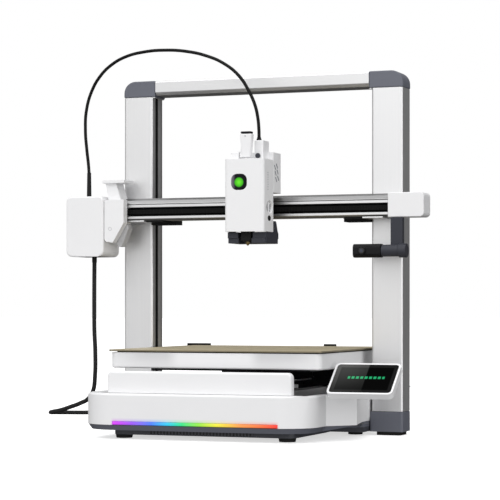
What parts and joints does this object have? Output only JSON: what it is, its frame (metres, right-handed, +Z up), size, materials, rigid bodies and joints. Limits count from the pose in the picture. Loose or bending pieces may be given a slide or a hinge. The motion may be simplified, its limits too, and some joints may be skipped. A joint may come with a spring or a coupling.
{
  "type": "fdm printer",
  "caption": "Desktop filament printer with a bed that slides front to back, a beam that climbs the frame, a toolhead that slides along it, a tilted screen and a camera.",
  "frame": {"origin": "centre of the footprint at floor level, cords left out", "axes": "+X to the machine's right, +Y from its front to its back, +Z up"},
  "size_m": [0.531, 0.353, 0.4805],
  "materials": {
    "white_plastic": "satin",
    "slate_plastic": "matte",
    "dark_plastic": "matte",
    "black_plastic": "satin",
    "rubber": "matte",
    "cord_black": "satin",
    "aluminium": "satin anodised",
    "steel": "brushed",
    "motor_black": "matte",
    "glass": "gloss",
    "brass": "satin",
    "circuit": "satin",
    "spring_steel": "textured",
    "light": "glowing",
    "grey_plastic": "matte"
  },
  "bodies": {
    "frame": {"base_shell": "white_plastic", "base_tray": "slate_plastic", "step_cover": "white_plastic", "light_bar": "light", "foot_front_left": "rubber", "foot_front_right": "rubber", "foot_rear_left": "rubber", "foot_rear_right": "rubber", "screen_housing": "white_plastic", "screen_glass": "glass", "power_supply": "steel", "main_board": "circuit", "power_inlet": "black_plastic", "cable_gland": "rubber", "y_motor": "motor_black", "y_belt": "rubber", "y_rail_left": "aluminium", "y_rail_right": "aluminium", "column_foot_left": "slate_plastic", "column_foot_right": "slate_plastic", "column_left": "aluminium", "column_right": "aluminium", "corner_cap_left": "slate_plastic", "corner_cap_right": "slate_plastic", "z_motor_left": "motor_black", "z_motor_right": "motor_black", "top_beam": "aluminium", "umbilical_cable": "cord_black"},
    "screw_left": {"lead_screw_left": "steel"},
    "screw_right": {"lead_screw_right": "steel"},
    "switch": {"power_switch": "black_plastic"},
    "y_drive": {"y_pulley": "steel"},
    "bed": {"bed_carriage": "aluminium", "heat_bed": "aluminium", "bed_skirt": "white_plastic", "build_plate": "spring_steel"},
    "gantry": {"x_beam": "aluminium", "end_cap_right": "white_plastic", "left_bracket": "white_plastic", "hub_box": "white_plastic", "tube_sleeve": "rubber", "x_motor": "motor_black", "x_belt": "rubber", "z_carriage_left": "black_plastic", "z_carriage_right": "black_plastic", "camera_arm": "slate_plastic", "filament_tube": "cord_black"},
    "x_drive": {"x_pulley": "steel"},
    "latch": {"latch_lever": "grey_plastic"},
    "camera": {"camera_module": "black_plastic"},
    "head": {"toolhead_cover": "white_plastic", "toolhead_back": "white_plastic", "head_carriage": "black_plastic", "status_window": "glass", "tube_fitting": "black_plastic", "fan_duct": "dark_plastic", "hot_end": "brass"},
    "lever": {"release_lever": "white_plastic"},
    "gear": {"extruder_gear": "dark_plastic"},
    "fan": {"fan_rotor": "black_plastic"}
  },
  "joints": [
    {"name": "y_slide", "type": "slide", "parent": "frame", "child": "bed", "axis": [0, 1, 0], "range_m": [-0.18, 0.08]},
    {"name": "z_slide", "type": "slide", "parent": "frame", "child": "gantry", "axis": [0, 0, 1], "range_m": [-0.125, 0.129], "deforming": ["umbilical_cable"]},
    {"name": "x_slide", "type": "slide", "parent": "gantry", "child": "head", "axis": [1, 0, 0], "range_m": [-0.142, 0.118], "deforming": ["filament_tube"]},
    {"name": "left_screw_spin", "type": "hinge", "parent": "frame", "child": "screw_left", "pos_m": [-0.15125, 0.0239, 0.246], "axis": [0, 0, 1], "continuous": true},
    {"name": "right_screw_spin", "type": "hinge", "parent": "frame", "child": "screw_right", "pos_m": [0.17475, 0.0239, 0.246], "axis": [0, 0, 1], "continuous": true},
    {"name": "y_pulley_spin", "type": "hinge", "parent": "frame", "child": "y_drive", "pos_m": [0.01175, 0.1505, 0.042], "axis": [1, 0, 0], "continuous": true},
    {"name": "x_pulley_spin", "type": "hinge", "parent": "gantry", "child": "x_drive", "pos_m": [-0.20725, -0.0129, 0.2769], "axis": [0, 0, 1], "continuous": true},
    {"name": "switch_rock", "type": "hinge", "parent": "frame", "child": "switch", "pos_m": [-0.00625, 0.1705, 0.035], "axis": [1, 0, 0], "range_deg": [-8, 8]},
    {"name": "latch_swing", "type": "hinge", "parent": "gantry", "child": "latch", "pos_m": [-0.15775, -0.0165, 0.2595], "axis": [0, -1, 0], "range_deg": [0, 25]},
    {"name": "camera_tilt", "type": "hinge", "parent": "gantry", "child": "camera", "pos_m": [0.16545, -0.0275, 0.2245], "axis": [1, 0, 0], "range_deg": [-30, 60]},
    {"name": "lever_press", "type": "hinge", "parent": "head", "child": "lever", "pos_m": [0.0255, -0.0705, 0.34], "axis": [1, 0, 0], "range_deg": [0, 12], "stiffness_Nm_per_rad": 0.05},
    {"name": "gear_spin", "type": "hinge", "parent": "head", "child": "gear", "pos_m": [0.01675, -0.064, 0.285], "axis": [0, 1, 0], "continuous": true},
    {"name": "fan_spin", "type": "hinge", "parent": "head", "child": "fan", "pos_m": [0.04175, -0.0615, 0.285], "axis": [1, 0, 0], "continuous": true}
  ],
  "couplings": [
    {"joint": "left_screw_spin", "follows": "z_slide", "rad_per_m": 785.4},
    {"joint": "right_screw_spin", "follows": "z_slide", "rad_per_m": 785.4},
    {"joint": "y_pulley_spin", "follows": "y_slide", "rad_per_m": -157.08},
    {"joint": "x_pulley_spin", "follows": "x_slide", "rad_per_m": 157.08}
  ]
}
